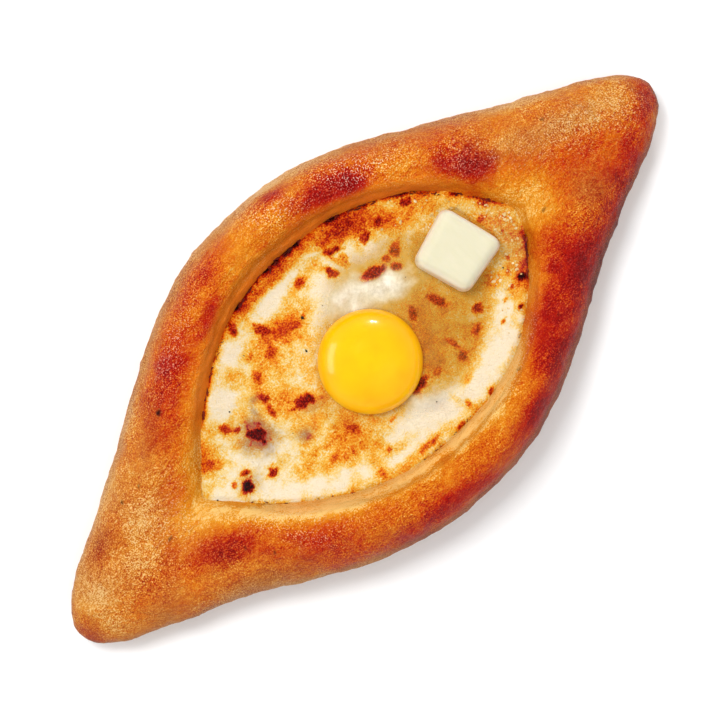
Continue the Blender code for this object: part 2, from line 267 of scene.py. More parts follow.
class CheeseSettings(bpy.types.PropertyGroup):
    """Sizes and colour of the molten cheese."""

    grain: bpy.props.FloatProperty(
        name="Mesh grain", description="Spacing of the cheese's mesh", default=0.55 * MM, unit="LENGTH"
    )
    blister_height: bpy.props.FloatProperty(
        name="Blister height",
        description="How far a charred blister stands up",
        default=0.8 * MM,
        unit="LENGTH",
    )
    swell: bpy.props.FloatProperty(
        name="Swell", description="Height of the cheese's waves", default=0.5 * MM, unit="LENGTH"
    )
    juice: bpy.props.FloatVectorProperty(
        name="Juice colour",
        description="Colour of the dark juice under the cheese's skin",
        default=linear("#764450"),
        size=4,
        subtype="COLOR",
    )


class EggSettings(bpy.types.PropertyGroup):
    """Sizes and colour of the egg."""

    film: bpy.props.FloatProperty(
        name="Film", description="Thickness of the white over the cheese", default=0.9 * MM, unit="LENGTH"
    )
    meniscus: bpy.props.FloatProperty(
        name="Meniscus", description="How far the white climbs the yolk", default=0.8 * MM, unit="LENGTH"
    )
    yolk: bpy.props.FloatVectorProperty(
        name="Yolk colour",
        description="The yolk's deeper colour",
        default=linear("#ffb500"),
        size=4,
        subtype="COLOR",
    )


class ButterSettings(bpy.types.PropertyGroup):
    """Size and colour of the butter."""

    pool: bpy.props.FloatProperty(
        name="Pool",
        description="How far the molten butter spreads from the pat",
        default=1.4 * MM,
        unit="LENGTH",
    )
    # Painted light: the pat's edges are mixed towards this colour, for light shining through them.
    rim: bpy.props.FloatVectorProperty(
        name="Rim colour",
        description="Colour of the pat's edges, where light shines through",
        default=linear("#f2ecd8"),
        size=4,
        subtype="COLOR",
    )


class StageSettings(bpy.types.PropertyGroup):
    """The camera's turn and how much it sees."""

    turn: bpy.props.FloatProperty(
        name="Turn",
        description="The camera's turn over the food",
        default=math.radians(-44),
        subtype="ANGLE",
    )
    view_width: bpy.props.FloatProperty(
        name="View width",
        description="Width of the view at the boat's waist",
        default=253.8 * MM,
        unit="LENGTH",
    )


class BoatSettings(bpy.types.PropertyGroup):
    """All settings of the bread boat."""

    crust: bpy.props.PointerProperty(type=CrustSettings)
    cheese: bpy.props.PointerProperty(type=CheeseSettings)
    egg: bpy.props.PointerProperty(type=EggSettings)
    butter: bpy.props.PointerProperty(type=ButterSettings)
    stage: bpy.props.PointerProperty(type=StageSettings)


# ---------------------------------------------------------------- meshes


def activate(piece):
    """Selects a piece alone and makes it active."""
    bpy.ops.object.select_all(action="DESELECT")
    piece.select_set(True)
    bpy.context.view_layer.objects.active = piece


def copy_of(node_name, piece_name):
    """A copy of a CAD node with its loose triangles merged into one skin."""
    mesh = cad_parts[node_name].data.copy()
    mesh.name = piece_name
    mesh.materials.clear()
    piece = bpy.data.objects.new(piece_name, mesh)
    bpy.context.scene.collection.objects.link(piece)
    activate(piece)
    bpy.ops.mesh.customdata_custom_splitnormals_clear()
    bpy.ops.object.mode_set(mode="EDIT")
    bpy.ops.mesh.select_all(action="SELECT")
    bpy.ops.mesh.remove_doubles(threshold=MERGE)
    bpy.ops.mesh.tris_convert_to_quads()
    bpy.ops.object.mode_set(mode="OBJECT")
    return piece


def apply(piece, kind, **settings):
    """Adds a modifier to a piece and applies it."""
    modifier = piece.modifiers.new(kind.title(), kind)
    for key, value in settings.items():
        setattr(modifier, key, value)
    activate(piece)
    bpy.ops.object.modifier_apply(modifier=modifier.name)


def roughen(piece, height, size, depth=2):
    """Pushes a piece's skin in and out by a cloud texture of that height and lump size."""
    texture = bpy.data.textures.new(f"{piece.name} {size / MM:.1f} mm", "CLOUDS")
    texture.noise_scale = size
    texture.noise_depth = depth
    apply(piece, "DISPLACE", texture=texture, strength=height, mid_level=0.5, texture_coords="LOCAL")


def points_of(mesh):
    """A mesh's points as an array of rows x, y, z."""
    places = np.empty(len(mesh.vertices) * 3)
    mesh.vertices.foreach_get("co", places)
    return places.reshape(-1, 3)


def normals_of(mesh):
    """A mesh's point normals as an array of rows."""
    normals = np.empty(len(mesh.vertices) * 3)
    mesh.vertices.foreach_get("normal", normals)
    return normals.reshape(-1, 3)


def move_points(mesh, places):
    """Puts a mesh's points at new places."""
    mesh.vertices.foreach_set("co", places.ravel())
    mesh.update()


def paint(mesh, name, values):
    """Stores a value for each point, for the materials to read."""
    layer = mesh.attributes.new(name, "FLOAT", "POINT")
    layer.data.foreach_set("value", np.clip(values, 0, 2).astype(np.float32))


def smoothstep(low, high, values):
    """0 below low, 1 above high, and an even S between."""
    t = np.clip((values - low) / (high - low), 0, 1)
    return t * t * (3 - 2 * t)


def clouds(places, size, octaves=2, seed=0.0):
    """Soft noise of about -1 to 1 at each place, with lumps of that size."""
    shift = Vector((seed, 1.7 * seed, -seed))
    return np.array([noise.fractal(Vector(p) / size + shift, 1.0, 2.0, octaves) for p in places])


def away(places, spot, ragged=0.0):
    """Distance from a spot's middle, 1 at its edge. ragged shifts it from point to point."""
    turn = math.radians(spot.turn)
    x, y = places[:, 0] - spot.x * MM, places[:, 1] - spot.y * MM
    along = (x * math.cos(turn) + y * math.sin(turn)) / (spot.length / 2 * MM)
    across = (y * math.cos(turn) - x * math.sin(turn)) / (spot.width / 2 * MM)
    return np.hypot(along, across) * (1 + ragged)


def soft_sum(places, spots, ragged=0.0):
    """The sum of soft spots, each fading from its strength to nothing."""
    total = np.zeros(len(places))
    for spot in spots:
        total += spot.strength * np.exp(-away(places, spot, ragged) ** 2 * 1.1)
    return total


def outline(node_name, middle=(0.0, 0.0), heights=(0.0, 1.0), without=()):
    """(directions, distances) of a CAD node's edge round a middle, read from its points.

    Only points between two heights count, and none that lies by a node named in without.
    """
    places = points_of(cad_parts[node_name].data)
    keep = (places[:, 2] > heights[0]) & (places[:, 2] < heights[1])
    for other in without:
        low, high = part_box(other)
        near = 1 * MM
        keep &= ~(
            (places[:, 0] > low.x - near)
            & (places[:, 0] < high.x + near)
            & (places[:, 1] > low.y - near)
            & (places[:, 1] < high.y + near)
        )
    offset = places[keep][:, :2] - middle
    directions = np.round(np.arctan2(offset[:, 1], offset[:, 0]), 2)
    distances = np.hypot(offset[:, 0], offset[:, 1])
    turns = np.unique(directions)
    return turns, np.array([distances[directions == turn].max() for turn in turns])


def polar(places, middle=(0.0, 0.0)):
    """Directions and distances of places from a middle."""
    x, y = places[:, 0] - middle[0], places[:, 1] - middle[1]
    return np.arctan2(y, x), np.hypot(x, y)


def reach(edge, directions):
    """An outline's distances in some directions."""
    return np.interp(directions, edge[0], edge[1], period=2 * math.pi)


CHEESE_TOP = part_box("cheese_filling")[1].z
CHEESE_LEVEL = CHEESE_TOP - 1.6 * MM
OPENING = outline("cheese_filling", heights=(CHEESE_TOP - 0.1 * MM, 1.0))
BOAT = outline("bread")
YOLK_LOW, YOLK_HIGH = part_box("egg_yolk")
YOLK_MIDDLE = (YOLK_LOW + YOLK_HIGH) / 2
YOLK_RADIUS = (YOLK_HIGH.x - YOLK_LOW.x) / 2
BUTTER_LOW, BUTTER_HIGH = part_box("butter_pat")
BUTTER_MIDDLE = (BUTTER_LOW + BUTTER_HIGH) / 2
BUTTER_TURN = math.radians(11)
BUTTER_HALF = 11.5 * MM


def finish(piece, surface, slot, *nodes):
    """Gives a piece its material, smooths it, ties it to the food and hides the CAD nodes that it stands in
    for.
    """
    piece.data.materials.append(surface)
    activate(piece)
    bpy.ops.object.shade_smooth()
    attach(piece, BODY)
    if nodes:
        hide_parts(*nodes)


def join_copies(name, model, placings):
    """One piece of many copies of a small model, each with its own place, turn and scale."""
    bpy.ops.object.select_all(action="DESELECT")
    for placing in placings:
        copy = bpy.data.objects.new(name, model.data.copy())
        copy.matrix_world = placing
        bpy.context.scene.collection.objects.link(copy)
        copy.select_set(True)
    bpy.context.view_layer.objects.active = copy
    bpy.data.objects.remove(model)
    bpy.ops.object.join()
    bpy.ops.object.transform_apply(location=True, rotation=True, scale=True)
    copy.name = copy.data.name = name
    return copy


def ragged_crumb(name, rings, ragged, seed):
    """A small round model of radius 1, its skin pushed about to look torn."""
    bpy.ops.mesh.primitive_ico_sphere_add(subdivisions=rings, radius=1.0)
    crumb = bpy.context.object
    crumb.name = name
    places = points_of(crumb.data)
    places *= (1 + ragged * clouds(places, 0.9, seed=seed))[:, None]
    move_points(crumb.data, places)
    return crumb


# ---------------------------------------------------------------- materials


def add(tree, kind, sockets=None, output=0, stops=None, **settings):
    """Adds a shader node, sets and links its sockets, and returns one of its outputs, if any.

    A ramp's stops are positions, each with an sRGB hex code or a linear colour.
    """
    node = tree.nodes.new(f"ShaderNode{kind}")
    for key, value in settings.items():
        setattr(node, key, value)
    for key, value in (sockets or {}).items():
        if isinstance(value, bpy.types.NodeSocket):
            tree.links.new(value, node.inputs[key])
        else:
            node.inputs[key].default_value = value
    if stops:
        ramp = node.color_ramp.elements
        while len(ramp) < len(stops):
            ramp.new(0.5)
        for element, (position, colour) in zip(ramp, stops):
            element.position = position
            element.color = linear(colour) if isinstance(colour, str) else colour
    return node.outputs[output] if node.outputs else None


def material(name, shade, *colours):
    """A new material. shade gives its shader from the node tree, the place on the piece that the
    patterns read, and the colours that the user chose."""
    made = bpy.data.materials.new(name)
    made.use_nodes = True
    tree = made.node_tree
    tree.nodes.clear()
    place = add(tree, "TexCoord", output="Object")
    add(tree, "OutputMaterial", {"Surface": shade(tree, place, *map(tuple, colours))})
    return made


def baked_crust(tree, place, wall_light_colour):
    """Egg-washed yeast dough out of a hot oven: a smooth skin that turns from gold over orange to
    crimson where it blistered, with painted glints, silvery dots for the light on its fine bubbles, an
    inner wall lightened by painted light, and dull, pinkish flanks whose tone is partly painted sheen."""
    along = add(tree, "Mapping", {"Vector": place, "Scale": (0.5, 1.2, 3.0)})
    spark = add(tree, "TexNoise", {"Vector": place, "Scale": 1 / (0.5 * MM), "Detail": 1})
    sand = add(tree, "TexNoise", {"Vector": along, "Scale": 1 / (0.9 * MM), "Detail": 3, "Roughness": 0.75})
    wrinkle = add(
        tree,
        "TexNoise",
        {"Vector": along, "Scale": 1 / (2.2 * MM), "Detail": 5, "Roughness": 0.68, "Distortion": 0.5},
    )
    cloud = add(tree, "TexNoise", {"Vector": place, "Scale": 1 / (11 * MM), "Detail": 4, "Roughness": 0.55})
    toast_and_shading, flank, painted_glint, sandiness, wall, scab = (
        add(tree, "Attribute", attribute_name=name, output="Fac")
        for name in ("toast_and_shading", "flank", "painted_glint", "sandiness", "wall", "scab")
    )
    # The browning, broken up by clouds of 11 mm, wrinkles of 2 mm and sand of 1 mm.
    cloudy = add(tree, "Math", {0: cloud, 1: 0.4, 2: toast_and_shading}, operation="MULTIPLY_ADD")
    wrinkled = add(tree, "Math", {0: wrinkle, 1: 0.6, 2: cloudy}, operation="MULTIPLY_ADD")
    coarse = add(tree, "Math", {0: sand, 1: -1.4, 2: 1.85}, operation="MULTIPLY_ADD")
    grain = add(tree, "Math", {0: spark, 1: -2.3, 2: coarse}, operation="MULTIPLY_ADD")
    sandy = add(tree, "Math", {0: grain, 1: sandiness, 2: wrinkled}, operation="MULTIPLY_ADD")
    browning_and_shade = add(tree, "Math", {0: sandy, 1: 0.50}, operation="SUBTRACT")
    glossy = [(0.0, "#f9cb78"), (0.15, "#ea9c28"), (0.30, "#e07e0c"), (0.45, "#d46002")]
    glossy += [(0.60, "#c63c00"), (0.74, "#b41600"), (0.88, "#9e0400"), (1.0, "#7a0000")]
    top = add(tree, "ValToRGB", {"Fac": browning_and_shade}, stops=glossy)
    # The flanks' tone: duller where the egg wash was thin, and its pinkish grey is partly painted sheen of
    # the bright room.
    dull = [(0.0, "#e4b47c"), (0.2, "#d0934e"), (0.4, "#ba702e")]
    dull += [(0.6, "#9a4818"), (0.80, "#762a0c"), (1.0, "#521206")]
    side = add(tree, "ValToRGB", {"Fac": browning_and_shade}, stops=dull)
    skin = add(tree, "Mix", {"Factor": flank, 6: top, 7: side}, output=2, data_type="RGBA")
    # The wall of the opening is mixed towards a bright orange: painted light that lifts it out of its shade,
    # most on the upper side.
    soaked = add(tree, "Mix", {"Factor": wall, 6: skin, 7: wall_light_colour}, output=2, data_type="RGBA")
    # Painted highlights: silvery dots of half a millimetre, for the light caught by bubbles in the egg wash.
    painted_glint_dot = add(tree, "MapRange", {"Value": spark, "From Min": 0.60, "From Max": 0.67}, output="Result")
    painted_glint_dots = add(tree, "Math", {0: painted_glint_dot, 1: painted_glint}, operation="MULTIPLY")
    with_painted_glints = add(tree, "Mix", {"Factor": painted_glint_dots, 6: soaked, 7: linear("#ecd9c4")}, output=2, data_type="RGBA")
    scabby = add(tree, "Mix", {"Factor": scab, 6: with_painted_glints, 7: linear("#2e0a05")}, output=2, data_type="RGBA")
    grit = add(tree, "Math", {0: wrinkle, 1: 1.4, 2: sand}, operation="MULTIPLY_ADD")
    gritty = add(tree, "Math", {0: spark, 1: 0.7, 2: grit}, operation="MULTIPLY_ADD")
    relief = add(tree, "Bump", {"Strength": 1.0, "Distance": 0.7 * MM, "Height": gritty})
    roughness = add(tree, "Math", {0: flank, 1: 0.28, 2: 0.27}, operation="MULTIPLY_ADD")
    sockets = {"Base Color": scabby, "Roughness": roughness, "IOR": 1.45, "Specular IOR Level": 0.22}
    return add(tree, "BsdfPrincipled", {**sockets, "Normal": relief})


def molten_cheese(tree, place, juice_colour):
    """Brined curd cheese, melted and grilled: cream that turns gold and orange where it dried, with
    glossy red-brown blisters, and a wet shine of fat all over."""
    fine = add(tree, "TexNoise", {"Vector": place, "Scale": 1 / (0.6 * MM), "Detail": 2, "Roughness": 0.6})
    curd = add(
        tree,
        "TexNoise",
        {"Vector": place, "Scale": 1 / (3.2 * MM), "Detail": 4, "Roughness": 0.65, "Distortion": 0.4},
    )
    brown = add(tree, "Attribute", attribute_name="brown", output="Fac")
    bruise = add(tree, "Attribute", attribute_name="bruise", output="Fac")
    # The browner the cheese, the more it is mottled: the grain of about -1 to 1 grows with it.
    curdy = add(tree, "Math", {0: curd, 1: 3.2, 2: -1.6}, operation="MULTIPLY_ADD")
    grained = add(tree, "Math", {0: fine, 1: 5.2, 2: curdy}, operation="MULTIPLY_ADD")
    grain = add(tree, "Math", {0: grained, 1: 2.6}, operation="SUBTRACT")
    depth = add(tree, "Math", {0: brown, 1: 0.42, 2: 0.05}, operation="MULTIPLY_ADD")
    shallow = add(tree, "Math", {0: depth, 1: 0.24}, operation="MINIMUM")
    mottled = add(tree, "Math", {0: grain, 1: shallow, 2: brown}, operation="MULTIPLY_ADD")
    # From creamy (0) over gold, orange and red-brown to burnt (1).
    browning_and_shade = add(tree, "Math", {0: mottled, 1: 1.35}, operation="DIVIDE")
    grilled = [(0.0, "#ebdcc0"), (0.06, "#ead5a8"), (0.14, "#e9c676"), (0.22, "#e5ae3e")]
    grilled += [(0.33, "#e4941a"), (0.44, "#dc6c08"), (0.54, "#ca4602"), (0.63, "#b42400")]
    grilled += [(0.72, "#920a00"), (0.84, "#600200"), (1.0, "#1a0104")]
    body = add(tree, "ValToRGB", {"Fac": browning_and_shade}, stops=grilled)
    juicy = add(tree, "Mix", {"Factor": bruise, 6: body, 7: juice_colour}, output=2, data_type="RGBA")
    grit = add(tree, "Math", {0: curd, 1: fine}, operation="ADD")
    relief = add(tree, "Bump", {"Strength": 1.0, "Distance": 0.7 * MM, "Height": grit})
    sockets = {"Base Color": juicy, "Roughness": 0.24, "IOR": 1.45, "Specular IOR Level": 0.3}
    fat = {"Subsurface Weight": 0.06, "Subsurface Radius": (1.0, 0.7, 0.35), "Subsurface Scale": 1.0 * MM}
    return add(tree, "BsdfPrincipled", {**sockets, **fat, "Normal": relief})


def set_white(tree, place):
    """Hen's egg white, half set by the hot cheese: milky where it has cooked, and clear, amber and
    as glossy as varnish where it swims in butter."""
    swirl = add(tree, "TexNoise", {"Vector": place, "Scale": 1 / (5 * MM), "Detail": 5, "Roughness": 0.65})
    milk = add(tree, "Attribute", attribute_name="milk", output="Fac")
    cover = add(tree, "Attribute", attribute_name="cover", output="Fac")
    clouded = add(tree, "Math", {0: swirl, 1: 0.5, 2: milk}, operation="MULTIPLY_ADD")
    setness = add(tree, "Math", {0: clouded, 1: 0.25}, operation="SUBTRACT")
    milky = [(0.0, "#c79738"), (0.35, "#d3a94e"), (0.6, "#dccca6"), (1.0, "#ebe3d0")]
    colour = add(tree, "ValToRGB", {"Fac": setness}, stops=milky)
    # The film comes and goes in shreds.
    shreds = add(tree, "Math", {0: swirl, 1: 2.0}, operation="MULTIPLY")
    veil = add(tree, "Math", {0: cover, 1: shreds}, operation="MULTIPLY")
    skin = add(tree, "TexNoise", {"Vector": place, "Scale": 1 / (1.3 * MM), "Detail": 3})
    ripple = add(tree, "Bump", {"Strength": 0.3, "Distance": 0.4 * MM, "Height": skin})
    sockets = {"Base Color": colour, "Roughness": 0.07, "IOR": 1.36, "Alpha": veil, "Normal": ripple}
    return add(tree, "BsdfPrincipled", sockets)


def raw_yolk(tree, place, deep_colour):
    """A raw hen's yolk in its skin: deep yellow, soft with scattered light, wet and mirror-smooth."""
    cloud = add(tree, "TexNoise", {"Vector": place, "Scale": 1 / (9 * MM), "Detail": 2})
    colour = add(tree, "ValToRGB", {"Fac": cloud}, stops=[(0.3, deep_colour), (0.7, "#ffc100")])
    sockets = {"Base Color": colour, "Roughness": 0.24, "IOR": 1.38}
    sockets |= {"Coat Weight": 0.6, "Coat Roughness": 0.06}
    soft = {"Subsurface Weight": 0.35, "Subsurface Radius": (1.0, 0.55, 0.08), "Subsurface Scale": 4 * MM}
    return add(tree, "BsdfPrincipled", {**sockets, **soft})


def fresh_butter(tree, place, rim_light_colour):
    """Churned butter just off the knife: ivory, waxy and a little see-through, with its edges painted
    lighter as painted light shining through them.
    """
    streak = add(tree, "Mapping", {"Vector": place, "Scale": (1, 0.25, 1)})
    smear = add(tree, "TexNoise", {"Vector": streak, "Scale": 1 / (1.6 * MM), "Detail": 3})
    colour = add(tree, "ValToRGB", {"Fac": smear}, stops=[(0.2, "#d5cfb0"), (0.8, "#dbd4b9")])
    rim = add(tree, "Attribute", attribute_name="rim", output="Fac")
    # Painted light along the pat's edges.
    lit = add(tree, "Mix", {"Factor": rim, 6: colour, 7: rim_light_colour}, output=2, data_type="RGBA")
    relief = add(tree, "Bump", {"Strength": 0.12, "Distance": 0.2 * MM, "Height": smear})
    sockets = {"Base Color": lit, "Roughness": 0.38, "IOR": 1.46, "Normal": relief}
    wax = {"Subsurface Weight": 0.3, "Subsurface Radius": (1.0, 0.8, 0.45), "Subsurface Scale": 2.5 * MM}
    return add(tree, "BsdfPrincipled", {**sockets, **wax})


def molten_butter(tree, place):
    """Clarified butter: a thin, clear golden liquid with a hard shine."""
    drift = add(tree, "TexNoise", {"Vector": place, "Scale": 1 / (4 * MM)})
    colour = add(tree, "ValToRGB", {"Fac": drift}, stops=[(0.3, "#d9962e"), (0.7, "#eabb58")])
    sockets = {"Base Color": colour, "Roughness": 0.05, "IOR": 1.45, "Alpha": 0.3}
    return add(tree, "BsdfPrincipled", sockets)


def charred_crumb(tree, place):
    """Cheese fat and dough burnt to a crisp: black-brown with red edges, dry and broken."""
    grit = add(tree, "TexNoise", {"Vector": place, "Scale": 1 / (0.8 * MM), "Detail": 4})
    patchy = add(tree, "TexNoise", {"Vector": place, "Scale": 1 / (4.5 * MM), "Detail": 2})
    crisp = [(0.3, "#2e0805"), (0.5, "#6b1206"), (0.66, "#a33a0c")]
    colour = add(tree, "ValToRGB", {"Fac": patchy}, stops=crisp)
    relief = add(tree, "Bump", {"Strength": 0.6, "Distance": 0.3 * MM, "Height": grit})
    return add(tree, "BsdfPrincipled", {"Base Color": colour, "Roughness": 0.42, "Normal": relief})


def ground_pepper(tree, place):
    """Coarsely ground black pepper: matt, nearly black."""
    fleck = add(tree, "TexNoise", {"Vector": place, "Scale": 1 / (0.3 * MM)})
    colour = add(tree, "ValToRGB", {"Fac": fleck}, stops=[(0.35, "#120c08"), (0.7, "#3a2818")])
    return add(tree, "BsdfPrincipled", {"Base Color": colour, "Roughness": 0.7})


def froth(tree, place):
    """Small curds and fat bubbles set in the hot cheese: cream to gold, with a wet shine."""
    tint = add(tree, "TexNoise", {"Vector": place, "Scale": 1 / (2.5 * MM)})
    creamy = [(0.3, "#c4984c"), (0.55, "#dcbf84"), (0.7, "#eddcb4")]
    colour = add(tree, "ValToRGB", {"Fac": tint}, stops=creamy)
    return add(tree, "BsdfPrincipled", {"Base Color": colour, "Roughness": 0.15, "IOR": 1.38})


def studio_paper(tree, place):
    """A white paper sweep: matt, with a faint fibre that stops it looking like a screen."""
    fibre = add(tree, "TexNoise", {"Vector": place, "Scale": 1 / (8 * MM), "Detail": 2})
    colour = add(tree, "ValToRGB", {"Fac": fibre}, stops=[(0.3, "#fafafa"), (0.7, "#fcfcfc")])
    return add(tree, "BsdfPrincipled", {"Base Color": colour, "Roughness": 0.9})


# ---------------------------------------------------------------- the food's relief


def cheese_height(places, settings):
    """How far the cheese's top lies above its level, at each place."""
    flat = places * (1, 1, 0)
    height = settings.swell * (0.8 * clouds(flat, 12 * MM, 2, 3.0) + 0.35 * clouds(flat, 3.5 * MM, 2, 8.0))
    torn = 0.30 * clouds(flat, 2.0 * MM, 2, 5.0)
    crinkle = clouds(flat, 0.9 * MM, 2, 12.0)
    for spot in BLISTERS:
        distance = away(places, spot, torn)
        dome = np.sqrt(np.clip(1 - distance**2, 0, 1))
        height += settings.blister_height * min(spot.strength, 1.0) * dome * (1 + 0.5 * crinkle)
    for fold in SKIN_FOLDS:
        height += 0.5 * MM * np.exp(-((from_line(places, fold) / (0.6 * MM)) ** 2))
    height += 0.8 * MM * soft_sum(places, SET_WHITE)
    height += 0.9 * MM * soft_sum(places, FROTHY) * np.abs(clouds(flat, 1.8 * MM, 2, 21.0))
    yolk_gap = polar(places, YOLK_MIDDLE)[1] - YOLK_RADIUS
    return height - 0.3 * MM * np.exp(-((yolk_gap / (4 * MM)) ** 2))


def hug_yolk(places, pull):
    """Draws the places close round the yolk in to touch it."""
    directions, distances = polar(places, YOLK_MIDDLE)
    gap = distances - YOLK_RADIUS
    draw_in = pull * smoothstep(3 * MM, 0.5 * MM, gap) * (gap > -1 * MM)
    places[:, 0] -= draw_in * np.cos(directions)
    places[:, 1] -= draw_in * np.sin(directions)


def burnt(directions):
    """How thickly the opening's edge burnt in each direction, from 0 to 1."""
    share = np.zeros(len(directions))
    for first, last, thickness in BURNT_STRETCHES:
        middle, half = math.radians((first + last) / 2), math.radians((last - first) / 2)
        off = np.abs(np.angle(np.exp(1j * (directions - middle))))
        share = np.maximum(share, thickness * smoothstep(half + 0.05, half - 0.05, off))
    return share


def from_line(places, line):
    """Distance of each place from an open line of points given in mm."""
    nearest = np.full(len(places), 1.0)
    corners = np.array(line) * MM
    for start, end in zip(corners[:-1], corners[1:]):
        run = end - start
        share = np.clip(((places[:, :2] - start) @ run) / (run @ run), 0, 1)
        foot = start + share[:, None] * run
        nearest = np.minimum(nearest, np.hypot(*(places[:, :2] - foot).T))
    return nearest


# ---------------------------------------------------------------- operators


class BOAT_OT_crust(bpy.types.Operator):
    """Bakes the dough boat: its lumps, wrinkles, toasted patches and scabs"""

    bl_idname = "breadboat.crust"
    bl_label = "Bake the crust"

    def execute(self, context):
        settings = context.scene.bread_boat.crust
        piece = copy_of("bread", "crust")
        apply(piece, "SUBSURF", levels=1, render_levels=1)
        apply(piece, "REMESH", mode="VOXEL", voxel_size=settings.grain)
        self.toast_and_shading(piece.data, settings)
        self.bend(piece.data)
        roughen(piece, settings.lumps, 19 * MM)
        roughen(piece, settings.lumps * 0.6, 9 * MM)
        roughen(piece, settings.wrinkles * 1.8, 5 * MM, 3)
        roughen(piece, settings.wrinkles * 1.2, 1.9 * MM, 2)
        # It rests flat, as it did on the oven's stone.
        places = points_of(piece.data)
        places[:, 2] = np.maximum(places[:, 2], 0)
        move_points(piece.data, places)
        finish(piece, material("Egg-washed baked dough", baked_crust, settings.soaked), "crust", "bread")
        return {"FINISHED"}

    def bend(self, mesh):
        """Pulls both tips out by a hair and over to one side, as a hand leaves them."""
        places = points_of(mesh)
        far = smoothstep(70 * MM, 140 * MM, np.abs(places[:, 0]))
        places[:, 0] += 1.4 * MM * far * np.sign(places[:, 0])
        places[:, 1] -= 1.3 * MM * far
        move_points(mesh, places)

    def toast_and_shading(self, mesh, settings):
        """Stores where the skin is toasted and where painted shade and painted light fall on it, where it is
        dull, where painted glints go and where it is scabbed, and lifts its blisters.
        """
        places, normals = points_of(mesh), normals_of(mesh)
        directions, distances = polar(places)
        edge, boat = reach(OPENING, directions), reach(BOAT, directions)
        out = distances - edge
        # The share of the way from the opening's edge (0) to the boat's edge (1).
        outward = out / (boat - edge)
        x, up = places[:, 0] / CAD_BOX[1].x, normals[:, 2]
        ragged = 0.35 * clouds(places, 6 * MM, 3, 2.0)
        # 1 on the boat's lower side, towards -Y, which faces away from the key light.
        shaded = smoothstep(0.2, -0.8, np.sin(directions))
        # 0 on the underside, which lay on the stone and is evenly brown.
        seen = smoothstep(-0.4, 0.1, up)
        inside = (outward > -0.05) & (up > -0.2)
        # 0 at the two tips of the opening.
        beside = smoothstep(0.15, 0.5, np.abs(np.sin(directions)))

        toast_and_shading = settings.brownness + 0.10 * clouds(places, 24 * MM, 2, 7.0) + 0.05 * x
        patches = soft_sum(places, TOASTED_AND_SHADED, ragged) * seen
        toast_and_shading += patches - soft_sum(places, PALE, ragged) * seen
        toast_and_shading += 0.14 * smoothstep(0.93, 1.0, np.abs(x))
        # The wall of the opening is paler, partly as dough that browned less and partly as painted light
        # against the shade it lies in.
        toast_and_shading -= (0.20 + 0.10 * shaded) * inside * smoothstep(0.34, 0.06, outward)
        # However long it bakes, the skin only creeps from crimson towards maroon.
        crimson, creep = 0.6, 0.26
        toast_and_shading = np.where(toast_and_shading > crimson, crimson + creep * np.tanh((toast_and_shading - crimson) / creep), toast_and_shading)
        jagged = 1 + 0.8 * clouds(places, 2.5 * MM, 2, 17.0)
        toast_and_shading += 0.4 * burnt(directions) * np.exp(-((out / (1.4 * MM)) ** 2)) * jagged * seen
        # Painted shade darkens the lower outer flanks, which face away from the key light, and painted light
        # lightens the upper outer flanks.
        toast_and_shading += (0.14 + 0.14 * smoothstep(0, 0.4, x)) * shaded * smoothstep(0.45, 0.8, outward) * seen
        toast_and_shading -= 0.12 * (1 - shaded) * smoothstep(0.7, 0.95, outward)
        # A crease runs beside the burnt line, browned along it as painted shade, most on the lower side.
        groove = (2.0 + 2.6 * shaded) * MM + 0.9 * MM * clouds(places * (1, 1, 0), 14 * MM, 2, 19.0)
        crease = np.exp(-(((out - groove) / (0.8 * MM)) ** 2)) * (up > 0.1)
        crease *= 0.25 + 0.75 * shaded
        paint(mesh, "toast_and_shading", toast_and_shading + 0.16 * crease)

        # Dull are the flanks, the underside, the left end and what the egg wash missed. On the flanks their
        # pinkish tone is also painted sheen, and reaches further up on the upper side.
        flank = smoothstep(0.86 - 0.24 * shaded, 0.3, up) * smoothstep(0.55, 0.8, outward)
        flank = np.maximum(flank, smoothstep(0.0, -0.5, up))
        left = smoothstep(-50 * MM, -110 * MM, places[:, 0]) * smoothstep(0.1, 0.4, outward)
        flank = np.maximum(flank, left * (0.45 + 0.4 * clouds(places, 16 * MM, 2, 31.0)))
        flank = np.maximum(flank, soft_sum(places, DRY, ragged) * smoothstep(0.1, 0.4, outward))
        paint(mesh, "flank", 0.85 * np.minimum(flank, 1))

        # Painted glints: where light dots for highlights are strewn, fewer on the flanks and on the lower
        # side.
        painted_glint = 0.06 + soft_sum(places, PAINTED_GLINT_SPOTS, ragged)
        painted_glint *= smoothstep(0.02, 0.20, outward) * (1 - 0.5 * flank) * (1 - 0.5 * shaded)
        paint(mesh, "painted_glint", np.minimum(painted_glint, 0.9))
        sandiness = 0.40 + 0.35 * clouds(places, 15 * MM, 2, 41.0) + 0.14 * flank + 0.25 * painted_glint
        paint(mesh, "sandiness", sandiness * (1 - 0.35 * smoothstep(0.5, 0.1, outward)))

        scab = np.zeros(len(places))
        for spot in SCABS:
            scab = np.maximum(scab, spot.strength * smoothstep(1.1, 0.6, away(places, spot)))
        scab *= up > 0.2
        paint(mesh, "scab", scab)

        # Painted light: how far the inner wall, in shade on the upper side, is mixed towards the bright
        # soaked colour.
        wall = inside * smoothstep(7 * MM, 2 * MM, out) * (1 - 0.8 * shaded)
        wall *= beside
        paint(mesh, "wall", 0.85 * wall * smoothstep(-1.5 * MM, 0.5 * MM, out))

        lift = 0.5 * MM * np.clip(patches, 0, 1) + 0.3 * MM * scab
        lift -= 0.45 * MM * crease
        places = places + normals * lift[:, None]
        # The dough rolls over the cheese, so that its steep part is narrow and hidden in the burnt line.
        roll = smoothstep(0.2 * MM, 2.6 * MM, out) * smoothstep(9 * MM, 2.6 * MM, out)
        roll *= beside * (up > 0)
        places[:, 2] += 2.6 * MM * roll
        move_points(mesh, places)


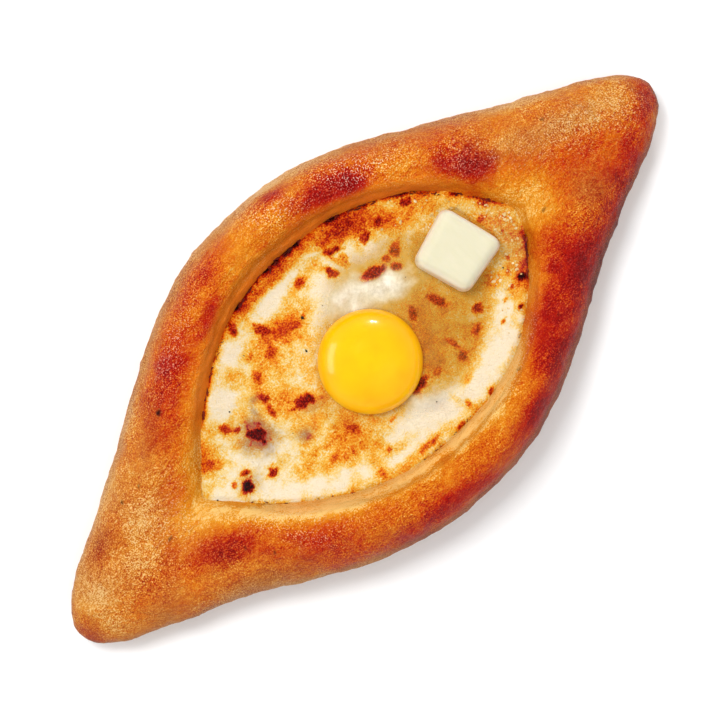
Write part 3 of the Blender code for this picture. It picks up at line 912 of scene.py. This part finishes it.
class BOAT_OT_cheese(bpy.types.Operator):
    """Melts the cheese: its waves, blisters, folds, browned and creamy areas"""

    bl_idname = "breadboat.cheese"
    bl_label = "Melt the cheese"

    def execute(self, context):
        settings = context.scene.bread_boat.cheese
        piece = copy_of("cheese_filling", "molten_cheese")
        apply(piece, "REMESH", mode="VOXEL", voxel_size=settings.grain)
        mesh = piece.data
        places = points_of(mesh)
        top = smoothstep(CHEESE_LEVEL - 0.8 * MM, CHEESE_LEVEL - 0.2 * MM, places[:, 2])
        self.brown(mesh, places)
        directions, distances = polar(places)
        share = distances / reach(OPENING, directions)
        places[:, 2] += top * cheese_height(places, settings)
        rim = top * smoothstep(0.965, 0.995, share)
        places[:, 2] += rim * (CHEESE_LEVEL + 0.3 * MM - places[:, 2])
        spill = smoothstep(0.93, 0.99, share) * (1.3 + 0.5 * clouds(places, 4 * MM, 2, 15.0)) * MM
        places[:, 0] += spill * np.cos(directions)
        places[:, 1] += spill * np.sin(directions)
        hug_yolk(places, 0.4 * MM)
        move_points(mesh, places)
        surface = material("Melted brined cheese", molten_cheese, settings.juice)
        finish(piece, surface, "cheese", "cheese_filling")
        return {"FINISHED"}

    def brown(self, mesh, places):
        """Stores how brown and how bruised the cheese is."""
        flat = places * (1, 1, 0)
        ragged = 0.35 * clouds(flat, 5 * MM, 3, 4.0)
        torn = 0.55 * clouds(flat, 2.2 * MM, 3, 5.0)
        gold = 0.24 + 0.22 * clouds(flat, 6 * MM, 3, 9.0) + soft_sum(places, CHEESE_AREAS, ragged)
        gold -= 0.08 * smoothstep(5 * MM, -15 * MM, places[:, 0])
        char = np.zeros(len(places))
        for spot in BLISTERS:
            distance = away(places, spot, torn)
            core, halo = smoothstep(1.3, 0.7, distance), 1 / (1 + (0.8 * distance) ** 3)
            char = np.maximum(char, spot.strength * (0.62 * core + 0.38 * halo))
        # Painted highlight: the cheese is made paler along each fold's crest.
        for fold in SKIN_FOLDS:
            gold -= 0.15 * np.exp(-((from_line(places, fold) / (0.6 * MM)) ** 2))
        directions, distances = polar(places)
        inset = reach(OPENING, directions) - distances
        # Along the upper edge, under the rim, the cheese is painted browner: partly amber cheese and partly
        # the rim's painted shadow.
        upper = smoothstep(-0.3, 0.3, np.sin(directions))
        gold += 0.16 * upper * np.exp(-((inset / (1.8 * MM)) ** 2))
        jagged = 1 + 0.8 * clouds(flat, 2.5 * MM, 2, 17.0)
        edge = 0.9 * burnt(directions) * np.exp(-((inset / (1.2 * MM)) ** 2)) * jagged
        bruise = np.minimum(soft_sum(places, BRUISES, ragged), 0.8) * (1 - smoothstep(0.45, 0.95, char))
        brown = np.clip(gold, 0, 0.74) * np.clip(1 - char, 0, 1) + 1.04 * np.maximum(char, 0.9 * edge)
        paint(mesh, "brown", brown)
        paint(mesh, "bruise", bruise)


class BOAT_OT_egg_white(bpy.types.Operator):
    """Pours the egg white: a film over the cheese that climbs the yolk and thins to nothing"""

    bl_idname = "breadboat.egg_white"
    bl_label = "Pour the egg white"

    def execute(self, context):
        settings = context.scene.bread_boat.egg
        cheese = context.scene.bread_boat.cheese
        piece = copy_of("egg_white", "egg_white_film")
        apply(piece, "REMESH", mode="VOXEL", voxel_size=0.5 * MM)
        mesh = piece.data
        places = points_of(mesh)
        low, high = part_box("egg_white")
        middle = Vector(((low.x + high.x) / 2, (low.y + high.y) / 2))
        ring = (low.z + 0.3 * MM, low.z + 0.7 * MM)
        edge = outline("egg_white", middle, ring, without=("egg_yolk", "butter_pat"))
        directions, distances = polar(places, middle)
        inset = reach(edge, directions) - distances
        fade = smoothstep(0.3 * MM, 8 * MM, inset)
        yolk_gap = polar(places, YOLK_MIDDLE)[1] - YOLK_RADIUS
        climb = settings.meniscus * np.exp(-yolk_gap / (1.5 * MM))
        under = cheese_height(places, cheese)
        film = np.maximum(under + 0.12 * MM, 0.45 * under + fade * settings.film) + fade * climb
        rise = smoothstep(low.z + 0.2 * MM, high.z - 0.2 * MM, places[:, 2])
        places[:, 2] = CHEESE_LEVEL - 0.6 * MM + rise * (0.6 * MM + film)
        milk = np.clip(soft_sum(places, SET_WHITE, 0.3 * clouds(places, 6 * MM, 2, 6.0)), 0, 1)
        blister = np.zeros(len(places))
        for spot in BLISTERS:
            blister = np.maximum(blister, spot.strength * smoothstep(1.5, 0.8, away(places, spot)))
        right = smoothstep(-12 * MM, 24 * MM, places[:, 0])
        cover = fade * (0.14 + 0.26 * right + 0.5 * milk) * (1 - 0.95 * np.clip(blister, 0, 1))
        cover *= smoothstep(0.0, 1.2 * MM, yolk_gap)
        paint(mesh, "milk", milk)
        paint(mesh, "cover", cover)
        hug_yolk(places, 0.9 * MM)
        move_points(mesh, places)
        finish(piece, material("Half-set egg white", set_white), "egg_white", "egg_white")
        return {"FINISHED"}


class BOAT_OT_yolk(bpy.types.Operator):
    """Rounds the yolk, a little uneven under its skin"""

    bl_idname = "breadboat.yolk"
    bl_label = "Set the yolk"

    def execute(self, context):
        piece = copy_of("egg_yolk", "yolk")
        apply(piece, "SUBSURF", levels=1, render_levels=1)
        # It lies a hair off its middle and bulges over its foot.
        places = points_of(piece.data)
        middle = np.array(YOLK_MIDDLE.xy)
        places[:, :2] = middle + 1.02 * (places[:, :2] - middle) + (-0.4 * MM, 0.1 * MM)
        move_points(piece.data, places)
        roughen(piece, 0.35 * MM, 22 * MM, 1)
        settings = context.scene.bread_boat.egg
        finish(piece, material("Raw egg yolk", raw_yolk, settings.yolk), "egg_yolk", "egg_yolk")
        return {"FINISHED"}


class BOAT_OT_butter(bpy.types.Operator):
    """Softens the pat of butter, its corners pulled out of square, on a pool of molten butter"""

    bl_idname = "breadboat.butter"
    bl_label = "Lay the butter"

    def execute(self, context):
        piece = copy_of("butter_pat", "butter")
        apply(piece, "REMESH", mode="VOXEL", voxel_size=0.45 * MM)
        apply(piece, "SMOOTH", factor=0.5, iterations=2)
        places = points_of(piece.data)
        aside = places[:, :2] - BUTTER_MIDDLE.xy
        cos, sin = math.cos(BUTTER_TURN), math.sin(BUTTER_TURN)
        across = (aside[:, 0] * cos + aside[:, 1] * sin) / BUTTER_HALF
        along = (aside[:, 1] * cos - aside[:, 0] * sin) / BUTTER_HALF
        for (right, up), pull in CORNER_PULLS.items():
            share = (1 + right * across) * (1 + up * along) / 4
            places[:, 0] += share * pull[0] * MM
            places[:, 1] += share * pull[1] * MM
        move_points(piece.data, places)
        # Painted light: the pat's edges are marked for a lighter colour.
        paint(piece.data, "rim", smoothstep(0.78, 1.0, np.maximum(np.abs(across), np.abs(along))))
        roughen(piece, 0.2 * MM, 7 * MM)
        settings = context.scene.bread_boat.butter
        finish(piece, material("Cold butter", fresh_butter, settings.rim), "butter", "butter_pat")
        self.pool(settings)
        return {"FINISHED"}

    def pool(self, settings):
        """A thin pool round the pat's foot, with a wavy edge."""
        bpy.ops.object.select_all(action="DESELECT")
        bpy.ops.mesh.primitive_uv_sphere_add(segments=96, ring_count=24, radius=1.0)
        piece = bpy.context.object
        piece.name = piece.data.name = "molten_butter_pool"
        places = points_of(piece.data)
        directions, distances = polar(places)
        square = distances * (1 + 0.13 * np.cos(4 * (directions - BUTTER_TURN) + math.pi))
        wave = 1 + 0.05 * np.sin(3 * directions + 1) + 0.03 * np.sin(7 * directions + 2)
        spread = (BUTTER_HALF + 0.3 * MM + settings.pool) * wave * square / np.maximum(distances, 1e-6)
        flat = np.clip(places[:, 2] * 1.6, -1, 1)
        places[:, 0] = BUTTER_MIDDLE.x - 1.6 * MM + places[:, 0] * spread
        places[:, 1] = BUTTER_MIDDLE.y - 0.2 * MM + places[:, 1] * spread
        places[:, 2] = CHEESE_LEVEL + 0.7 * MM + 0.75 * MM * flat
        move_points(piece.data, places)
        finish(piece, material("Molten butter", molten_butter), "butter")


class BOAT_OT_burnt_edge(bpy.types.Operator):
    """Lays the burnt line between the cheese and the dough, from joined crumbs"""

    bl_idname = "breadboat.burnt_edge"
    bl_label = "Burn the edge"

    def execute(self, context):
        draw = random.Random(11)
        placings = []
        for first, last, thickness in BURNT_STRETCHES:
            turn = math.radians(first)
            while turn < math.radians(last):
                placings.append(self.placing(turn, thickness, draw))
                gap = draw.uniform(0.2, 0.9) if draw.random() < 0.85 else draw.uniform(2, 5)
                turn += gap * MM / float(reach(OPENING, turn))
        crumb = ragged_crumb("burnt_edge_model", 2, 0.7, 1.0)
        piece = join_copies("burnt_edge", crumb, placings)
        finish(piece, material("Charred cheese crust", charred_crumb), "crust")
        return {"FINISHED"}

    def placing(self, turn, thickness, draw):
        """A crumb's place on the edge, drawn out along it."""
        ahead = turn + 0.01
        here = Vector((math.cos(turn), math.sin(turn), 0)) * float(reach(OPENING, turn))
        there = Vector((math.cos(ahead), math.sin(ahead), 0)) * float(reach(OPENING, ahead))
        along = (there - here).normalized()
        heading = math.atan2(along.y, along.x) + draw.gauss(0, 0.45)
        shift = Vector((along.y, -along.x, 0)) * draw.gauss(0.5, 0.5) * MM
        place = here + shift + Vector((0, 0, CHEESE_LEVEL + draw.uniform(0.3, 0.7) * MM))
        size = draw.uniform(0.35, 0.85) ** 1.3 * thickness
        length, width = size * draw.uniform(1.0, 1.9) * MM, size * draw.uniform(0.5, 0.9) * MM
        turned = Euler((draw.uniform(-0.5, 0.5), draw.uniform(-0.2, 0.2), heading))
        return Matrix.LocRotScale(place, turned, (length, width, 0.4 * MM))


class BOAT_OT_pepper(bpy.types.Operator):
    """Drops a few grains of pepper on the cheese and the egg white"""

    bl_idname = "breadboat.pepper"
    bl_label = "Scatter the pepper"

    def execute(self, context):
        draw = random.Random(5)
        cheese = context.scene.bread_boat.cheese
        placings = []
        for x, y, radius in PEPPER:
            spot = np.array([[x * MM, y * MM, 0.0]])
            height = CHEESE_LEVEL + float(cheese_height(spot, cheese)[0]) + 0.35 * MM
            turn = Euler([draw.uniform(0, math.pi) for _ in range(3)])
            size = [radius * MM * draw.uniform(0.8, 1.2) for _ in range(3)]
            placings.append(Matrix.LocRotScale(Vector((x * MM, y * MM, height)), turn, size))
        grain = ragged_crumb("pepper_model", 2, 0.4, 4.0)
        piece = join_copies("pepper_grains", grain, placings)
        finish(piece, material("Ground black pepper", ground_pepper), "crust")
        return {"FINISHED"}


class BOAT_OT_froth(bpy.types.Operator):
    """Raises small curds and bubbles in the cheese at the butter's end"""

    bl_idname = "breadboat.froth"
    bl_label = "Raise the froth"

    def execute(self, context):
        draw = random.Random(23)
        cheese = context.scene.bread_boat.cheese
        clear = []
        for _ in range(FROTH_TRIES):
            turn = draw.gauss(0, 0.22)
            out = float(reach(OPENING, turn)) * draw.uniform(0.78, 0.985)
            x, y = out * math.cos(turn), out * math.sin(turn)
            if not self.under_butter(x, y):
                clear.append((x, y))
        places = np.array([(x, y, 0.0) for x, y in clear])
        heights = CHEESE_LEVEL + cheese_height(places, cheese)
        share = np.hypot(places[:, 0], places[:, 1]) / reach(OPENING, polar(places)[0])
        heights += (CHEESE_TOP - CHEESE_LEVEL) * np.clip((share - 0.88) / 0.12, 0, 1) ** 2
        placings = []
        for (x, y), height in zip(clear, heights):
            size = draw.uniform(0.2, 0.42) * MM * draw.uniform(0.8, 1.9)
            turn = Euler((0, 0, draw.uniform(0, math.pi)))
            placings.append(Matrix.LocRotScale(Vector((x, y, height)), turn, [size, size * 0.7, size * 0.4]))
        bubble = ragged_crumb("froth_model", 2, 0.35, 2.0)
        piece = join_copies("cheese_froth", bubble, placings)
        finish(piece, material("Cheese froth", froth), "cheese")
        return {"FINISHED"}

    def under_butter(self, x, y):
        """Whether a place lies under the pat."""
        return BUTTER_LOW.x < x < BUTTER_HIGH.x and BUTTER_LOW.y < y < BUTTER_HIGH.y


class BOAT_OT_stage(bpy.types.Operator):
    """Sets the paper sweep, the lights and the camera"""

    bl_idname = "breadboat.stage"
    bl_label = "Light the stage"

    def execute(self, context):
        settings = context.scene.bread_boat.stage
        bpy.ops.object.select_all(action="DESELECT")
        bpy.ops.mesh.primitive_plane_add(size=6.0)
        floor = context.object
        floor.name = "paper_sweep"
        floor.data.materials.append(material("White paper sweep", studio_paper))

        # White walls all round and a darker ceiling, so that the food's top keeps its deep colours.
        world = bpy.data.worlds.new("Studio")
        world.use_nodes = True
        tree = world.node_tree
        tree.nodes.clear()
        where = add(tree, "SeparateXYZ", {"Vector": add(tree, "TexCoord", output="Generated")}, output="Z")
        room = add(tree, "ValToRGB", {"Fac": where}, stops=[(0.0, "#ffffff"), (1.0, "#6a6a6a")])
        glow = add(tree, "Background", {"Color": room, "Strength": 0.5})
        add(tree, "OutputWorld", {"Surface": glow})
        context.scene.world = world

        # Soft lights too broad to glint on anything wet, then two that do.
        for name, azimuth, elevation, distance, size, power in (
            ("key", 92, 66, 1.0, 0.32, 5.4),
            ("fill", -88, 54, 1.2, 0.9, 4.2),
            ("dome", 0, 90, 1.3, 1.6, 7.4),
        ):
            self.light(name, azimuth, elevation, distance, (size, size), power).visible_glossy = False
        self.light("window", 41, 27, 1.0, (0.16, 0.06), 1.8)
        self.light("strip", 131, 28, 1.0, (0.7, 0.3), 1.9)

        bpy.ops.object.camera_add()
        camera = context.object
        camera.name = "camera"
        camera.data.lens = 100
        camera.data.sensor_width = 36
        distance = settings.view_width * camera.data.lens / camera.data.sensor_width
        camera.location = AIM + Vector((0, 0, distance))
        camera.rotation_euler = (0, 0, settings.turn)
        context.scene.camera = camera
        context.scene.view_settings.view_transform = "Standard"
        return {"FINISHED"}

    def light(self, name, azimuth, elevation, distance, size, power):
        """An area light that faces the food. Azimuth 0 is +X and 90 is +Y."""
        a, e = math.radians(azimuth), math.radians(elevation)
        back = Vector((math.cos(a) * math.cos(e), math.sin(a) * math.cos(e), math.sin(e)))
        bpy.ops.object.light_add(type="AREA", location=back * distance)
        lamp = bpy.context.object
        lamp.name = name
        lamp.rotation_euler = back.to_track_quat("Z", "Y").to_euler()
        lamp.data.shape = "RECTANGLE"
        lamp.data.size, lamp.data.size_y = size
        lamp.data.energy = power
        lamp.visible_camera = False
        return lamp


class BOAT_PT_panel(bpy.types.Panel):
    """Lists the steps of building the bread boat"""

    bl_idname = "BOAT_PT_panel"
    bl_label = "Cheese bread boat"
    bl_space_type = "VIEW_3D"
    bl_region_type = "UI"
    bl_category = "Bread Boat"

    def draw(self, context):
        for step in STEPS:
            self.layout.operator(step.bl_idname)
        for group in ("crust", "cheese", "egg", "butter", "stage"):
            box = self.layout.box()
            settings = getattr(context.scene.bread_boat, group)
            for key in settings.__annotations__:
                box.prop(settings, key)


STEPS = (
    BOAT_OT_crust,
    BOAT_OT_cheese,
    BOAT_OT_egg_white,
    BOAT_OT_yolk,
    BOAT_OT_butter,
    BOAT_OT_burnt_edge,
    BOAT_OT_pepper,
    BOAT_OT_froth,
    BOAT_OT_stage,
)
GROUPS = (CrustSettings, CheeseSettings, EggSettings, ButterSettings, StageSettings, BoatSettings)


def register():
    """Makes the settings, the operators and the panel known."""
    for cls in (*GROUPS, *STEPS, BOAT_PT_panel):
        bpy.utils.register_class(cls)
    bpy.types.Scene.bread_boat = bpy.props.PointerProperty(type=BoatSettings)


def unregister():
    """Takes them out again."""
    del bpy.types.Scene.bread_boat
    for cls in reversed((*GROUPS, *STEPS, BOAT_PT_panel)):
        bpy.utils.unregister_class(cls)


def main():
    """Builds the dressed food step by step."""
    register()
    bpy.ops.breadboat.crust()
    bpy.ops.breadboat.cheese()
    bpy.ops.breadboat.egg_white()
    bpy.ops.breadboat.yolk()
    bpy.ops.breadboat.butter()
    bpy.ops.breadboat.burnt_edge()
    bpy.ops.breadboat.pepper()
    bpy.ops.breadboat.froth()
    bpy.ops.breadboat.stage()


if __name__ == "__main__":
    main()
